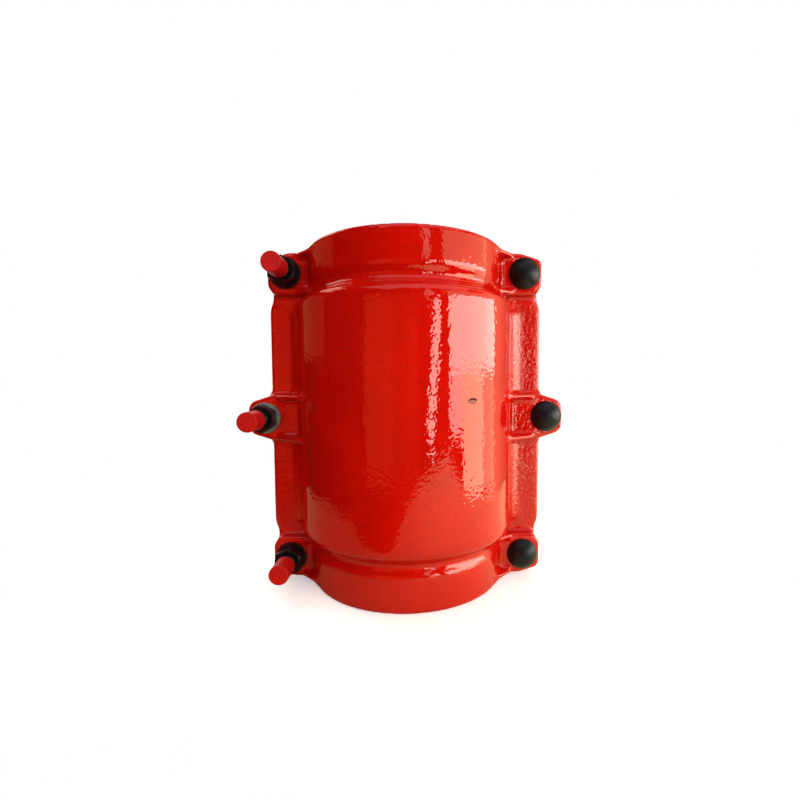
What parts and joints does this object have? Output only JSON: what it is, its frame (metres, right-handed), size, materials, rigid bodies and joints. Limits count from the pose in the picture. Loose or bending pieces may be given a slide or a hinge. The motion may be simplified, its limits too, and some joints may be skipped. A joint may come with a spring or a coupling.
{
  "type": "pipe repair clamp",
  "caption": "Split sleeve that closes round a damaged pipe: cast half shells with bolted lugs, rubber seals inside, and caps over the thread ends.",
  "frame": {"origin": "on the pipe's axis, at the middle of the clamp's length, in the parting plane", "axes": "+Z along the pipe; +X towards the bolts whose heads face -Y; +Y from the front half shell to the rear one"},
  "size_m": [0.309, 0.212, 0.3256],
  "materials": {
    "red_coating": "thick glossy red epoxy coating over a cast iron surface",
    "black_rubber": "moulded black rubber",
    "black_bolt": "black oxide steel, satin",
    "dark_zinc": "dark zinc plated steel, grey with a green tint",
    "black_nut": "black oxide steel, satin",
    "red_cap": "soft red plastic, slightly glossy"
  },
  "bodies": {
    "front_half": {"front_shell": "red_coating", "front_seal": "black_rubber", "bolt_right_top": "black_bolt", "bolt_right_middle": "black_bolt", "bolt_right_bottom": "black_bolt", "washer_left_top": "dark_zinc", "washer_left_middle": "dark_zinc", "washer_left_bottom": "dark_zinc"},
    "rear_half": {"rear_shell": "red_coating", "rear_seal": "black_rubber", "bolt_left_top": "black_bolt", "bolt_left_middle": "black_bolt", "bolt_left_bottom": "black_bolt", "washer_right_top": "dark_zinc", "washer_right_middle": "dark_zinc", "washer_right_bottom": "dark_zinc"},
    "nut_right_top": {"nut_right_top": "black_nut"},
    "cap_right_top": {"cap_right_top": "red_cap"},
    "nut_right_middle": {"nut_right_middle": "black_nut"},
    "cap_right_middle": {"cap_right_middle": "red_cap"},
    "nut_right_bottom": {"nut_right_bottom": "black_nut"},
    "cap_right_bottom": {"cap_right_bottom": "red_cap"},
    "nut_left_top": {"nut_left_top": "black_nut"},
    "cap_left_top": {"cap_left_top": "red_cap"},
    "nut_left_middle": {"nut_left_middle": "black_nut"},
    "cap_left_middle": {"cap_left_middle": "red_cap"},
    "nut_left_bottom": {"nut_left_bottom": "black_nut"},
    "cap_left_bottom": {"cap_left_bottom": "red_cap"}
  },
  "joints": [
    {"name": "halves_open", "type": "slide", "parent": "front_half", "child": "rear_half", "axis": [0, 1, 0], "range_m": [0, 0.0055]},
    {"name": "nut_right_top_turn", "type": "hinge", "parent": "rear_half", "child": "nut_right_top", "pos_m": [0.1155, 0.0335, 0.139], "axis": [0, 1, 0], "range_deg": [0, 991]},
    {"name": "cap_right_top_pull", "type": "slide", "parent": "front_half", "child": "cap_right_top", "axis": [0, 1, 0], "range_m": [0, 0.02]},
    {"name": "nut_right_middle_turn", "type": "hinge", "parent": "rear_half", "child": "nut_right_middle", "pos_m": [0.138, 0.0335, 0], "axis": [0, 1, 0], "range_deg": [0, 991]},
    {"name": "cap_right_middle_pull", "type": "slide", "parent": "front_half", "child": "cap_right_middle", "axis": [0, 1, 0], "range_m": [0, 0.02]},
    {"name": "nut_right_bottom_turn", "type": "hinge", "parent": "rear_half", "child": "nut_right_bottom", "pos_m": [0.1155, 0.0335, -0.139], "axis": [0, 1, 0], "range_deg": [0, 991]},
    {"name": "cap_right_bottom_pull", "type": "slide", "parent": "front_half", "child": "cap_right_bottom", "axis": [0, 1, 0], "range_m": [0, 0.02]},
    {"name": "nut_left_top_turn", "type": "hinge", "parent": "front_half", "child": "nut_left_top", "pos_m": [-0.1155, -0.0335, 0.139], "axis": [0, -1, 0], "range_deg": [0, 991]},
    {"name": "cap_left_top_pull", "type": "slide", "parent": "rear_half", "child": "cap_left_top", "axis": [0, -1, 0], "range_m": [0, 0.02]},
    {"name": "nut_left_middle_turn", "type": "hinge", "parent": "front_half", "child": "nut_left_middle", "pos_m": [-0.138, -0.0335, 0], "axis": [0, -1, 0], "range_deg": [0, 991]},
    {"name": "cap_left_middle_pull", "type": "slide", "parent": "rear_half", "child": "cap_left_middle", "axis": [0, -1, 0], "range_m": [-0.005, 0.015]},
    {"name": "nut_left_bottom_turn", "type": "hinge", "parent": "front_half", "child": "nut_left_bottom", "pos_m": [-0.1155, -0.0335, -0.139], "axis": [0, -1, 0], "range_deg": [0, 991]},
    {"name": "cap_left_bottom_pull", "type": "slide", "parent": "rear_half", "child": "cap_left_bottom", "axis": [0, -1, 0], "range_m": [0, 0.02]}
  ],
  "couplings": [
    {"joint": "nut_right_top_turn", "follows": "halves_open", "rad_per_m": 3141.6},
    {"joint": "nut_right_middle_turn", "follows": "halves_open", "rad_per_m": 3141.6},
    {"joint": "nut_right_bottom_turn", "follows": "halves_open", "rad_per_m": 3141.6},
    {"joint": "nut_left_top_turn", "follows": "halves_open", "rad_per_m": 3141.6},
    {"joint": "nut_left_middle_turn", "follows": "halves_open", "rad_per_m": 3141.6},
    {"joint": "nut_left_bottom_turn", "follows": "halves_open", "rad_per_m": 3141.6}
  ]
}
